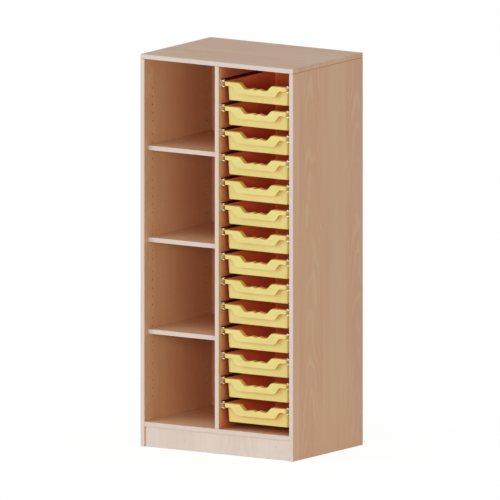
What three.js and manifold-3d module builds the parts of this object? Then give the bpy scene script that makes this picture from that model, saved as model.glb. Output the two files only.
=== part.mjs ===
// A tall school storage unit: a bay of open shelves beside a bay of shallow pull-out trays.
// Millimetres. +X is to the right seen from the front, the front looks towards -Y, +Z is up.
// The origin lies on the floor, under the middle of the unit.
import * as THREE from "three";
import { mergeVertices } from "three/addons/utils/BufferGeometryUtils.js";
import Module from "manifold-3d";

const wasm = await Module();
wasm.setup();

// Carcass
const board = 18; // thickness of the carcass boards and shelves
const bayWidth = 325; // clear width of each bay
const unitDepth = 497; // front edges to rear edges of the side panels
const plinthHeight = 80; // floor to the underside of the bottom panel
const plinthSetback = 6; // plinth face behind the front edges
const seam = 0.3; // gap left in every butted, glued or rested joint

// Back panel, held in grooves of the side panels and the top
const backThickness = 8;
const backInset = 10; // rear face of the back panel in front of the rear edges
const grooveDepth = 7;

// Dowels that join the boards
const dowelDiameter = 8;
const holeCover = 7; // board left under the end of a blind hole
const dowelEndGap = 1; // room at the end of a dowel
const dowelInset = 60; // outer dowels from the front and rear ends of a joint

// Shelf bay
const compartmentHeight = 342; // clear height between shelves
const shelfCount = 3;
const shelfSetback = 25; // shelf front behind the front edges
const shelfRearGap = 5; // shelf rear in front of the back panel
const shelfSideGap = 1; // on each side of a loose shelf

// Rows of holes that let the shelves be moved
const holeDiameter = 5;
const holePitch = 32;
const holesPerGroup = 5;
const holeInset = 32.5; // hole columns from a shelf's front and rear edges

// Shelf supports: a peg in a hole, with a bracket under the shelf
const pegEndGap = 2; // room at the end of a peg
const pegDrop = 6; // peg axis under the shelf's underside
const bracketReach = 10;
const bracketWidth = 12;
const bracketTongue = 2.5; // thickness of the free end
const bracketTail = 4.5; // bracket below the peg axis

// Trays
const trayHeight = 75;
const trayLength = 372; // handle face to the rear of the rim
const trayGap = 22; // between a tray and the one above it
const traySetback = 9.5; // handle face behind the front edges
const mostTrays = 14;
const lowestTrayGap = 28; // under the lowest tray
const trayHeadroom = 20; // least gap over the top tray
const trayWall = 2.5;
const tubSideDraft = 3.2; // how far each wall leans in over the tray's height
const tubEndDraft = 4;
const tubCorner = 10; // outside radius of the tub's upright corners
const rimDepth = 18; // height of the rim's skirt
const rimSetback = 3; // front ends of the side rims behind the handle face
const rearOverhang = 12; // rim behind the tub's rear wall

// Handle: a band along the front of the rim with a hollow for three fingers
const handleReach = 16.5; // band face in front of the tub
const handleEndDepth = 16.5; // height of the band at its ends
const handleMidDepth = 44; // its lower edge in the middle
const handleShoulder = 25; // level stretch of the lower edge at each end
const handleSlope = 32; // length of the run from the end depth to the middle depth
const fingerCrest = 15.5; // crests between the fingers from the middle
const fingerRise = 4; // height of the crests
const fingerTrough = 37; // outer finger hollows from the middle
const hollowDepth = 22;
const hollowFloor = 9.5; // level stretch from an outer finger hollow to the slope
const hollowSlope = 32; // length of the run from the hollow up to the rim

// Runners: a metal channel on each wall of the bay for the tray's rim, with flanges outside its lips
const runnerReach = 17.5; // free edges of the lips from the wall of the bay
const runnerWeb = 2;
const runnerLip = 2;
const runnerFlange = 2.8; // web and flanges beyond the lips
const flangeWall = 2.2;
const runnerSetback = 12; // front ends behind the front edges
const runnerStop = 2; // thickness of the closed rear end
const stopGap = 0.5; // tray's rear in front of the closed end
const rimSideGap = 2.2; // rim to the runner's web
const rimTopGap = 1.7; // rim to the runner's upper lip
const rimRestGap = 0.3; // rim to the runner's lower lip
const handleEndGap = 4.5; // handle to the free edges of the lips
const tubSideGap = 4.2; // tub to the free edges of the lips

// Sizes that follow
const clearHeight = (shelfCount + 1) * compartmentHeight + shelfCount * board;
const unitWidth = 3 * board + 2 * bayWidth;
const floorTop = plinthHeight + board; // upper face of the bottom panel
const wallTop = floorTop + clearHeight; // top ends of the upright panels
const partitionLeft = board + bayWidth;
const trayBayLeft = partitionLeft + board;
const rightPanelLeft = trayBayLeft + bayWidth;
const backFront = unitDepth - backInset - backThickness;
const innerDepth = backFront - seam; // depth of the boards that stop at the back panel
const holeDepth = board - holeCover; // every blind hole
const dowelReach = holeDepth - dowelEndGap; // dowel beyond the face that it enters
const shelfRear = backFront - shelfRearGap;
const holeColumns = [shelfSetback + holeInset, shelfRear - holeInset];
const trayPitch = trayHeight + trayGap;
const trayRoom = clearHeight - lowestTrayGap - trayHeight - trayHeadroom;
const trayCount = Math.min(mostTrays, 1 + Math.floor(trayRoom / trayPitch));
const runnerRear = traySetback + trayLength + stopGap + runnerStop;
const rimHalf = bayWidth / 2 - seam - runnerWeb - rimSideGap;
const tubHalf = bayWidth / 2 - runnerReach - tubSideGap;
const handleHalf = bayWidth / 2 - runnerReach - handleEndGap;
const past = 5; // how far a cutting shape runs out of the piece that it cuts

const boardLook = { color: 0xc3a58b, roughness: 0.55, metalness: 0 };
const edgeLook = { color: 0xd9ccc0, roughness: 0.5, metalness: 0 };
const trayLook = { color: 0xe6d68a, roughness: 0.4, metalness: 0 };
const runnerLook = { color: 0xe0e0e1, roughness: 0.35, metalness: 1 };
const bracketLook = { color: 0xb9bcc0, roughness: 0.35, metalness: 1 };

// A solid, ready to be joined or cut, from a closed geometry
function solid(geometry) {
  const bare = new THREE.BufferGeometry();
  bare.setAttribute("position", geometry.getAttribute("position"));
  bare.setIndex(geometry.getIndex());
  const welded = mergeVertices(bare, 1e-4);
  const vertProperties = new Float32Array(welded.getAttribute("position").array);
  const triVerts = new Uint32Array(welded.getIndex().array);
  return new wasm.Manifold(new wasm.Mesh({ numProp: 3, vertProperties, triVerts }));
}

function geometryOf(shape) {
  const { vertProperties, triVerts } = shape.getMesh();
  const geometry = new THREE.BufferGeometry();
  geometry.setAttribute("position", new THREE.BufferAttribute(vertProperties, 3));
  geometry.setIndex(new THREE.BufferAttribute(triVerts, 1));
  geometry.computeVertexNormals();
  return geometry;
}

function piece(name, geometry, look, x, y, z) {
  const material = new THREE.MeshStandardMaterial({ ...look, flatShading: true });
  const mesh = new THREE.Mesh(geometry, material);
  mesh.name = name;
  mesh.position.set(x, y, z);
  return mesh;
}

function joined(solids) {
  return solids.reduce((sum, next) => sum.add(next));
}

function block(x0, x1, y0, y1, z0, z1) {
  const geometry = new THREE.BoxGeometry(x1 - x0, y1 - y0, z1 - z0);
  return solid(geometry.translate((x0 + x1) / 2, (y0 + y1) / 2, (z0 + z1) / 2));
}

// A round bar along the x or z axis, from one place on it to another, moved to (x, y, z)
function rod(axis, diameter, start, end, x, y, z) {
  const sides = 6;
  const bar = new THREE.CylinderGeometry(diameter / 2, diameter / 2, end - start, sides);
  bar.translate(0, (start + end) / 2, 0);
  if (axis === "x") {
    bar.rotateZ(-Math.PI / 2);
  } else {
    bar.rotateX(Math.PI / 2);
  }
  return solid(bar.translate(x, y, z));
}

// A dowel that stands out of a board's end, rooted one seam inside it
function dowel(axis, sign, x, y, z) {
  const root = -sign * seam;
  const tip = sign * (seam + dowelReach);
  return rod(axis, dowelDiameter, Math.min(root, tip), Math.max(root, tip), x, y, z);
}

// The blind hole for a dowel, sunk into a face that the hole's mouth lies on
function dowelHole(axis, sign, x, y, z) {
  const bottom = sign * holeDepth;
  const mouth = -sign * past;
  const diameter = dowelDiameter + 2 * seam;
  return rod(axis, diameter, Math.min(bottom, mouth), Math.max(bottom, mouth), x, y, z);
}

// Places of the three dowels along a joint of some depth, from the front
function dowelPlaces(depth) {
  return [dowelInset, depth / 2, depth - dowelInset];
}

// Outline in x and z, run from one y to another
function prismAlongY(points, y0, y1) {
  const outline = new THREE.Shape(points.map(([x, z]) => new THREE.Vector2(x, z)));
  const geometry = new THREE.ExtrudeGeometry(outline, { depth: y1 - y0, bevelEnabled: false });
  geometry.rotateX(Math.PI / 2);
  return solid(geometry.translate(0, y1, 0));
}

// Heights of the shelves' undersides, from the lowest shelf up
function shelfHeights() {
  const step = compartmentHeight + board;
  return Array.from({ length: shelfCount }, (_, i) => floorTop + compartmentHeight + i * step);
}

// Heights of the shelf holes: a group at each shelf and a group half way between
function holeHeights() {
  const groupPitch = (compartmentHeight + board) / 2;
  const lowest = floorTop + compartmentHeight - pegDrop - groupPitch;
  const heights = [];
  for (let group = 0; group <= 2 * shelfCount; group += 1) {
    for (let hole = 0; hole < holesPerGroup; hole += 1) {
      const offset = (hole - (holesPerGroup - 1) / 2) * holePitch;
      heights.push(lowest + group * groupPitch + offset);
    }
  }
  return heights;
}

// All shelf holes of one wall, sunk to the left or the right from its face
function shelfHoles(face, sign) {
  const bottom = sign * holeDepth;
  const mouth = -sign * past;
  const start = Math.min(bottom, mouth);
  const end = Math.max(bottom, mouth);
  const places = holeHeights().flatMap((z) => holeColumns.map((y) => [y, z]));
  return joined(places.map(([y, z]) => rod("x", holeDiameter, start, end, face, y, z)));
}

// The middle shelf is fixed with dowels, which stiffens the tall walls
function fixedShelf() {
  return Math.floor((shelfCount - 1) / 2);
}

function fixedShelfAxis() {
  return shelfHeights()[fixedShelf()] + board / 2;
}

// Holes in a wall's inner face for the dowels of the bottom panel, the plinth and the back's groove
function wallJoints(face, sign) {
  const cuts = dowelPlaces(innerDepth).map((y) => dowelHole("x", sign, face, y, plinthHeight + board / 2));
  cuts.push(dowelHole("x", sign, face, plinthSetback + board / 2, plinthHeight / 2));
  const deep = face + sign * grooveDepth;
  const open = face - sign * past;
  const bottom = plinthHeight - seam;
  const groove = block(
    Math.min(deep, open),
    Math.max(deep, open),
    backFront - seam,
    unitDepth - backInset + seam,
    bottom,
    wallTop + past,
  );
  cuts.push(groove);
  return joined(cuts);
}

function sidePanelLeft() {
  const blank = block(0, board, 0, unitDepth, 0, wallTop - seam);
  const tenons = dowelPlaces(unitDepth).map((y) => dowel("z", 1, board / 2, y, wallTop - seam));
  const fixings = holeColumns.map((y) => dowelHole("x", -1, board, y, fixedShelfAxis()));
  const cuts = joined([wallJoints(board, -1), shelfHoles(board, -1), ...fixings]);
  return joined([blank, ...tenons]).subtract(cuts);
}

function sidePanelRight() {
  const blank = block(0, board, 0, unitDepth, 0, wallTop - seam);
  const tenons = dowelPlaces(unitDepth).map((y) => dowel("z", 1, board / 2, y, wallTop - seam));
  return joined([blank, ...tenons]).subtract(wallJoints(0, 1));
}

function partition() {
  const foot = floorTop + seam;
  const head = wallTop - seam;
  const blank = block(0, board, 0, innerDepth, foot, head);
  const upper = dowelPlaces(innerDepth).map((y) => dowel("z", 1, board / 2, y, head));
  const lower = dowelPlaces(innerDepth).map((y) => dowel("z", -1, board / 2, y, foot));
  const fixings = holeColumns.map((y) => dowelHole("x", 1, 0, y, fixedShelfAxis()));
  const cuts = joined([shelfHoles(0, 1), ...fixings]);
  return joined([blank, ...upper, ...lower]).subtract(cuts);
}

// The top lies over the upright panels and has the upper groove of the back panel
function topPanel() {
  const blank = block(0, unitWidth, 0, unitDepth, 0, board);
  const groove = block(
    board - grooveDepth,
    unitWidth - board + grooveDepth,
    backFront - seam,
    unitDepth - backInset + seam,
    -past,
    grooveDepth,
  );
  const sides = [board / 2, unitWidth - board / 2];
  const outer = sides.flatMap((x) => dowelPlaces(unitDepth).map((y) => dowelHole("z", 1, x, y, 0)));
  const middle = dowelPlaces(innerDepth).map((y) => dowelHole("z", 1, partitionLeft + board / 2, y, 0));
  return blank.subtract(joined([groove, ...outer, ...middle]));
}

function bottomPanel() {
  const left = board + seam;
  const right = unitWidth - board - seam;
  const blank = block(left, right, 0, innerDepth, 0, board);
  const places = dowelPlaces(innerDepth);
  const tenons = places.flatMap((y) => [
    dowel("x", -1, left, y, board / 2),
    dowel("x", 1, right, y, board / 2),
  ]);
  const sockets = places.map((y) => dowelHole("z", -1, partitionLeft + board / 2, y, board));
  return joined([blank, ...tenons]).subtract(joined(sockets));
}

function plinth() {
  const left = board + seam;
  const right = unitWidth - board - seam;
  const blank = block(left, right, 0, board, 0, plinthHeight - seam);
  const tenons = [
    dowel("x", -1, left, board / 2, plinthHeight / 2),
    dowel("x", 1, right, board / 2, plinthHeight / 2),
  ];
  return joined([blank, ...tenons]);
}

function backPanel() {
  const reach = grooveDepth - seam;
  const width = unitWidth - 2 * board + 2 * reach;
  return block(0, width, 0, backThickness, plinthHeight, wallTop + reach);
}

function looseShelf() {
  return block(shelfSideGap, bayWidth - shelfSideGap, 0, shelfRear - shelfSetback, 0, board);
}

function dowelledShelf() {
  const left = seam;
  const right = bayWidth - seam;
  const blank = block(left, right, 0, shelfRear - shelfSetback, 0, board);
  const tenons = holeColumns.flatMap((y) => [
    dowel("x", -1, left, y - shelfSetback, board / 2),
    dowel("x", 1, right, y - shelfSetback, board / 2),
  ]);
  return joined([blank, ...tenons]);
}

// A support on a left-hand wall, with the peg's axis at the origin and the wall's face at x = 0
function shelfSupport() {
  const top = pegDrop - seam;
  const profile = [
    [seam, -bracketTail],
    [bracketTongue, -bracketTail],
    [bracketReach, top - bracketTongue],
    [bracketReach, top],
    [seam, top],
  ];
  const bracket = prismAlongY(profile, -bracketWidth / 2, bracketWidth / 2);
  return bracket.add(rod("x", holeDiameter - 2 * seam, pegEndGap - holeDepth, 2 * seam, 0, 0, 0));
}

// A smooth half wave from 0 to 1 as a distance grows over the length of a slope
function halfWave(distance, slope) {
  const along = THREE.MathUtils.clamp(distance / slope, 0, 1);
  return (1 - Math.cos(Math.PI * along)) / 2;
}

// How far the handle's upper edge lies under the rim's top
function upperEdge(x) {
  const offset = Math.abs(x);
  if (offset >= fingerTrough) {
    return hollowDepth * (1 - halfWave(offset - fingerTrough - hollowFloor, hollowSlope));
  }
  const inMiddle = offset < fingerCrest;
  const fromTrough = inMiddle ? offset : fingerTrough - offset;
  const toCrest = inMiddle ? fingerCrest : fingerTrough - fingerCrest;
  return hollowDepth - fingerRise * halfWave(fromTrough, toCrest);
}

// How far the handle's lower edge lies under the rim's top
function lowerEdge(x) {
  const fall = halfWave(handleHalf - handleShoulder - Math.abs(x), handleSlope);
  return handleEndDepth + (handleMidDepth - handleEndDepth) * fall;
}

// Places across the handle, from left to right, with each span between stops cut into steps
function stations(halfStops, steps) {
  const half = [];
  halfStops.slice(0, -1).forEach((start, span) => {
    for (let i = 0; i < steps[span]; i += 1) {
      half.push(start + ((halfStops[span + 1] - start) * i) / steps[span]);
    }
  });
  half.push(halfStops[halfStops.length - 1]);
  const left = half.slice(1).reverse().map((x) => -x);
  return [...left, ...half];
}

function upperStations() {
  const slopeStart = fingerTrough + hollowFloor;
  const stops = [0, fingerCrest, fingerTrough, slopeStart, slopeStart + hollowSlope, handleHalf];
  return stations(stops, [2, 3, 1, 4, 1]);
}

function lowerStations() {
  const fallEnd = handleHalf - handleShoulder;
  return stations([0, fallEnd - handleSlope, fallEnd, handleHalf], [1, 4, 1]);
}

// The tub's plan at some height under the rim, held in from its outer skin
function tubPlan(z, inset) {
  const lean = -z / trayHeight;
  return {
    half: tubHalf - inset - tubSideDraft * lean,
    front: handleReach + inset + tubEndDraft * lean,
    rear: trayLength - rearOverhang - inset - tubEndDraft * lean,
  };
}

function roundedPlan({ half, front, rear }, radius) {
  const outline = new THREE.Shape();
  const quarter = Math.PI / 2;
  outline.absarc(half - radius, front + radius, radius, -quarter, 0);
  outline.absarc(half - radius, rear - radius, radius, 0, quarter);
  outline.absarc(radius - half, rear - radius, radius, quarter, 2 * quarter);
  outline.absarc(radius - half, front + radius, radius, 2 * quarter, 3 * quarter);
  outline.closePath();
  return outline;
}

// A tub-shaped solid with leaning walls between two heights
function tub(top, bottom, inset) {
  const upper = tubPlan(top, inset);
  const lower = tubPlan(bottom, inset);
  const outline = roundedPlan(upper, tubCorner - inset);
  const settings = { depth: top - bottom, bevelEnabled: false, curveSegments: 2 };
  const geometry = new THREE.ExtrudeGeometry(outline, settings);
  const position = geometry.getAttribute("position");
  const along = (lower.rear - lower.front) / (upper.rear - upper.front);
  for (let i = 0; i < position.count; i += 1) {
    if (position.getZ(i) < (top - bottom) / 2) {
      position.setX(i, (position.getX(i) * lower.half) / upper.half);
      position.setY(i, lower.front + (position.getY(i) - upper.front) * along);
    }
  }
  return solid(geometry.translate(0, 0, bottom));
}

// The rim is a plate with a skirt along both sides and the rear
function trayRim() {
  const outside = block(-rimHalf, rimHalf, rimSetback, trayLength, -rimDepth, 0);
  const inside = block(
    trayWall - rimHalf,
    rimHalf - trayWall,
    rimSetback - past,
    trayLength - trayWall,
    -rimDepth - past,
    -trayWall,
  );
  return outside.subtract(inside);
}

// The band, the ledge from its upper edge back to the tub, and the two ends that close it
function trayHandle() {
  const upper = upperStations().map((x) => [x, -upperEdge(x)]);
  const lower = lowerStations().map((x) => [x, -lowerEdge(x)]);
  const ledgeUnder = upper.map(([x, z]) => [x, z - trayWall]);
  const band = prismAlongY([...upper].reverse().concat(lower), 0, trayWall);
  const ledge = prismAlongY([...upper].reverse().concat(ledgeUnder), 0, handleReach + trayWall);
  const ends = [-1, 1].map((side) => {
    const outer = side * handleHalf;
    const inner = side * (handleHalf - trayWall);
    return block(
      Math.min(outer, inner),
      Math.max(outer, inner),
      0,
      handleReach,
      -handleEndDepth,
      0,
    );
  });
  return joined([band, ledge, ...ends]);
}

// What the finger hollow takes out of the rim and the tub's front wall
function fingerHollow() {
  const edge = upperStations().map((x) => [x, -upperEdge(x)]);
  const outline = [[handleHalf, past], [-handleHalf, past], ...edge];
  return prismAlongY(outline, -past, handleReach + tubEndDraft + 2 * trayWall);
}

// A tray with its rim's top at z = 0, its handle face at y = 0 and its middle at x = 0
function tray() {
  const outside = joined([tub(0, -trayHeight, 0), trayRim(), trayHandle()]);
  const inside = tub(past, trayWall - trayHeight, trayWall);
  return outside.subtract(inside).subtract(fingerHollow());
}

// A runner for the wall on the left (side 1) or the right (side -1), in the tray's own heights
function runner(side) {
  const under = -rimDepth - rimRestGap;
  const over = rimTopGap;
  const foot = under - runnerLip - runnerFlange;
  const head = over + runnerLip + runnerFlange;
  const across = (near, far) => [Math.min(side * near, side * far), Math.max(side * near, side * far)];
  const length = runnerRear - runnerSetback;
  const body = block(...across(seam, runnerReach), 0, length, foot, head);
  const channel = block(
    ...across(seam + runnerWeb, runnerReach + past),
    -past,
    length - runnerStop,
    under,
    over,
  );
  const trough = across(seam + runnerWeb, runnerReach - flangeWall);
  const lowerTrough = block(...trough, -past, length + past, foot - past, under - runnerLip);
  const upperTrough = block(...trough, -past, length + past, over + runnerLip, head + past);
  return body.subtract(joined([channel, lowerTrough, upperTrough]));
}

function carcass() {
  const group = new THREE.Group();
  const left = geometryOf(sidePanelLeft());
  const right = geometryOf(sidePanelRight());
  const backLeft = board - grooveDepth + seam;
  group.add(piece("side_panel_left", left, boardLook, 0, 0, 0));
  group.add(piece("side_panel_right", right, boardLook, rightPanelLeft, 0, 0));
  group.add(piece("partition", geometryOf(partition()), boardLook, partitionLeft, 0, 0));
  group.add(piece("top_panel", geometryOf(topPanel()), boardLook, 0, 0, wallTop));
  group.add(piece("bottom_panel", geometryOf(bottomPanel()), boardLook, 0, 0, plinthHeight));
  group.add(piece("plinth", geometryOf(plinth()), edgeLook, 0, plinthSetback, 0));
  group.add(piece("back_panel", geometryOf(backPanel()), boardLook, backLeft, backFront, 0));
  return group;
}

function supportsOf(shelfName, height) {
  const group = new THREE.Group();
  const geometry = geometryOf(shelfSupport());
  ["front", "rear"].forEach((row, i) => {
    const y = holeColumns[i];
    const name = `support_${shelfName}_${row}`;
    const left = piece(`${name}_left`, geometry, bracketLook, 0, y, 0);
    const right = piece(`${name}_right`, geometry, bracketLook, bayWidth, y, 0);
    right.rotation.z = Math.PI;
    group.add(left, right);
  });
  group.position.z = height - pegDrop;
  return group;
}

function shelfBay() {
  const group = new THREE.Group();
  const names = ["lower", "middle", "upper"];
  shelfHeights().forEach((height, i) => {
    const name = names[i] ?? `level_${i + 1}`;
    const fixed = i === fixedShelf();
    const geometry = geometryOf(fixed ? dowelledShelf() : looseShelf());
    group.add(piece(`shelf_${name}`, geometry, boardLook, 0, shelfSetback, height));
    if (!fixed) {
      group.add(supportsOf(name, height));
    }
  });
  group.position.x = board;
  return group;
}

// Trays and runners, numbered from the top tray down
function trayBay() {
  const group = new THREE.Group();
  const trayShape = geometryOf(tray());
  const leftRunner = geometryOf(runner(1));
  const rightRunner = geometryOf(runner(-1));
  for (let i = 0; i < trayCount; i += 1) {
    const number = String(trayCount - i).padStart(2, "0");
    const height = floorTop + lowestTrayGap + trayHeight + i * trayPitch;
    group.add(piece(`tray_${number}`, trayShape, trayLook, bayWidth / 2, traySetback, height));
    group.add(piece(`runner_left_${number}`, leftRunner, runnerLook, 0, runnerSetback, height));
    group.add(piece(`runner_right_${number}`, rightRunner, runnerLook, bayWidth, runnerSetback, height));
  }
  group.position.x = trayBayLeft;
  return group;
}

const unit = new THREE.Group();
unit.add(carcass(), shelfBay(), trayBay());
unit.position.set(-unitWidth / 2, -unitDepth / 2, 0);
const storageUnit = new THREE.Group();
storageUnit.add(unit);

export default storageUnit;
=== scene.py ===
"""Visual model of a tall school storage unit: open shelves beside a column of pull-out trays."""

import math

import bmesh
import bpy
from bpy.props import FloatProperty, FloatVectorProperty, IntProperty, PointerProperty
from bpy.types import Operator, Panel, PropertyGroup
from mathutils import Matrix, Vector


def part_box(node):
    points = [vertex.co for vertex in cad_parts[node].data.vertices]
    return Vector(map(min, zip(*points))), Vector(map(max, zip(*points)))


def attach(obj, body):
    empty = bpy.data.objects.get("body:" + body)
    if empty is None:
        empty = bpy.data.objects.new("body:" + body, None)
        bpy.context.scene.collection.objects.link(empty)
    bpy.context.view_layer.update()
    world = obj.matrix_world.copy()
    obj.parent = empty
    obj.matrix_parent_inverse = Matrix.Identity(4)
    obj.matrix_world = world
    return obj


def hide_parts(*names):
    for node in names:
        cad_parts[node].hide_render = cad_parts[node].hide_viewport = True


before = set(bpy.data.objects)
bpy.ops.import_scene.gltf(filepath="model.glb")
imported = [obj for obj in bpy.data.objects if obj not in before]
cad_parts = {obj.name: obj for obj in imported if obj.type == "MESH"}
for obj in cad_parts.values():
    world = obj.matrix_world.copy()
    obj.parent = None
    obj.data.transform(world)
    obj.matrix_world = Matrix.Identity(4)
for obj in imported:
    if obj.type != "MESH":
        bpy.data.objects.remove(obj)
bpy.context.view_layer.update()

bl_info = {
    "name": "Classroom tray storage unit",
    "version": (1, 0, 0),
    "blender": (4, 5, 0),
    "location": "View3D > Sidebar > Storage unit",
    "description": "Builds a tall storage unit with open shelves and pull-out trays",
    "category": "Object",
}

MM = 0.001
PAST = 5 * MM  # how far a cutter reaches beyond what it cuts
CLOSE = 1e-6  # points nearer than this are one
SHARP = 0.6  # faces that meet at a larger angle keep a sharp edge
ALONG = 0.9  # faces whose normal has a larger share of a direction look that way
GAP = 0.4  # how far round a place its openness is felt
PLANK = 0.167  # width of the facing's planks
WHITE = (1.0, 1.0, 1.0, 1.0)
BOARDS = (
    "side_panel_left",
    "side_panel_right",
    "partition",
    "top_panel",
    "bottom_panel",
    "plinth",
    "back_panel",
)
FACING, EDGING, CORE, INNER, BAY = range(5)


def nodes_named(start):
    """The CAD nodes whose names have the same start, in order."""
    return sorted(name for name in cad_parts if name.startswith(start))


TRAYS, RUNNERS = nodes_named("tray_"), nodes_named("runner_")
SUPPORTS, SHELVES = nodes_named("support_"), nodes_named("shelf_")


def length(name, description, millimetres):
    """A property for a length, shown in the scene's units."""
    settings = {"subtype": "DISTANCE", "unit": "LENGTH", "precision": 5, "min": 0.0}
    return FloatProperty(name=name, description=description, default=millimetres * MM, **settings)


def colour(name, description, *rgb):
    """A property for a linear colour."""
    settings = {"subtype": "COLOR", "size": 3, "min": 0.0, "max": 1.0}
    return FloatVectorProperty(name=name, description=description, default=rgb, **settings)


def angle(name, description, degrees):
    """A property for an angle."""
    settings = {"subtype": "ANGLE", "unit": "ROTATION"}
    return FloatProperty(name=name, description=description, default=math.radians(degrees), **settings)


def count(name, description, number, least):
    """A property for a number of like things."""
    return IntProperty(name=name, description=description, default=number, min=least)


def strength(name, description, value, unit="NONE"):
    """A property for a strength of light."""
    return FloatProperty(name=name, description=description, default=value, min=0.0, unit=unit)


class BoardSizes(PropertyGroup):
    """Sizes of the faced boards that the solids don't show"""

    seam: length("Seam", "Gap left in a butted joint", 0.3)
    top_seam: length("Top seam", "Shadow gap under the top panel", 0.8)
    edging: length("Edging", "Thickness of the pale strip on a front edge", 0.8)
    edging_radius: length("Edging radius", "Rounding of the front edges", 0.7)
    arris: length("Arris", "Rounding of all other edges", 1.2)
    hole_diameter: length("Hole diameter", "Diameter of the shelf holes", 5.0)
    hole_depth: length("Hole depth", "Depth of the shelf holes", 11.0)
    hole_chamfer: length("Hole chamfer", "Widening at the mouth of a shelf hole", 0.4)
    hole_pitch: length("Hole pitch", "Distance between the holes of a group", 32.0)
    holes_per_group: count("Holes per group", "Shelf holes in a group", 5, 1)
    hole_groups: count("Hole groups", "Groups of shelf holes in a column", 7, 1)
    group_pitch: length("Group pitch", "Distance between the groups of shelf holes", 180.0)
    lowest_group: length("Lowest group", "Height of the middle of the lowest group", 254.0)
    hole_front: length("Front column", "Front holes behind the front edges", 57.5)
    hole_rear: length("Rear column", "Rear holes behind the front edges", 441.5)


class TraySizes(PropertyGroup):
    """Sizes of a tray's moulding"""

    wall: length("Wall", "Thickness of the moulding", 2.5)
    height: length("Height", "Rim top to the underside of the floor", 75.0)
    tub_half: length("Tub half width", "Half the tub's width at the rim", 140.8)
    side_draft: length("Side draft", "Lean of the side walls over the height", 3.2)
    end_draft: length("End draft", "Lean of the end walls over the height", 4.0)
    corner: length("Corner", "Outside radius of the upright corners", 10.0)
    foot: length("Foot", "Outside radius around the floor", 3.0)
    least_foot: length("Least foot", "Least radius around the floor", 1.5)
    rim_half: length("Rim half width", "Half the width over the side rims", 158.0)
    rim_depth: length("Rim depth", "Height of the rim's skirt", 18.0)
    rim_setback: length("Rim setback", "Side rims behind the handle face", 3.0)
    rim_corner: length("Rim corner", "Radius of the rim's rear corners", 7.0)
    rim_edge: length("Rim edge", "Rounding of the rim's upper edge", 1.0)
    rear_overhang: length("Rear overhang", "Rim behind the rear wall", 12.0)
    handle_half: length("Handle half width", "Half the width of the handle band", 140.5)
    handle_reach: length("Handle reach", "Band face in front of the tub", 16.5)
    handle_edge: length("Handle edge", "Rounding of the handle's outer edges", 3.2)
    handle_lip: length("Handle lip", "Rounding of the handle's free edges", 0.7)
    handle_drop: length("Handle drop", "Handle under the rim's top", 0.15)
    end_depth: length("End depth", "Height of the band at its ends", 16.5)
    mid_depth: length("Middle depth", "Lower edge of the band in the middle", 44.0)
    shoulder: length("Shoulder", "Level stretch of the lower edge at each end", 25.0)
    handle_slope: length("Handle slope", "Run of the lower edge from end to middle", 32.0)
    crest: length("Crest", "Crests between the fingers from the middle", 15.5)
    crest_rise: length("Crest rise", "Height of the crests", 4.0)
    trough: length("Trough", "Outer finger hollows from the middle", 37.0)
    hollow_depth: length("Hollow depth", "Depth of the finger hollow", 22.0)
    hollow_floor: length("Hollow floor", "Level stretch outside an outer hollow", 9.5)
    hollow_slope: length("Hollow slope", "Run from the hollow up to the rim", 32.0)
    columns: count("Columns", "Steps along the handle's curves", 112, 16)


class RunnerSizes(PropertyGroup):
    """Sizes of the runners and their screws"""

    web: length("Web", "Thickness of the web on the wall", 2.0)
    lip: length("Lip", "Thickness of the lips", 2.0)
    flange: length("Flange", "Web and flanges beyond the lips", 2.8)
    flange_wall: length("Flange wall", "Thickness of the flanges", 2.2)
    stop: length("Stop", "Thickness of the closed rear end", 2.0)
    arris: length("Arris", "Rounding of the edges", 0.4)
    screw_head: length("Screw head", "Diameter of the screw heads", 7.0)
    screw_rise: length("Screw rise", "Height of the screw heads in the channel", 1.3)
    screw_inset: length("Screw inset", "End screws from the runner's ends", 45.0)
    screws: count("Screws", "Screws in each runner", 3, 2)
    back_rise: length("Back screw rise", "Distance between the back panel's screws up the middle", 200.0)
    back_pitch: length("Back screw pitch", "Distance between its screws along the bottom", 105.0)
    back_rows: count("Back screw rows", "Screws up the middle of the back panel", 6, 0)
    back_reach: count("Back screw reach", "Screws along the bottom on each side of the middle", 3, 0)


class SupportSizes(PropertyGroup):
    """Sizes of the shelf supports"""

    seam: length("Seam", "Bracket off the wall", 0.3)
    peg_diameter: length("Peg diameter", "Diameter of the peg", 4.4)
    peg_depth: length("Peg depth", "Peg in the wall", 9.0)
    peg_drop: length("Peg drop", "Bracket's upper face over the peg's axis", 5.7)
    reach: length("Reach", "Bracket from the wall", 10.0)
    width: length("Width", "Bracket along the wall", 12.0)
    tongue: length("Tongue", "Thickness of the bracket's free end", 2.5)
    tail: length("Tail", "Bracket below the peg's axis", 4.5)
    arris: length("Arris", "Rounding of the edges", 0.5)


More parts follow.
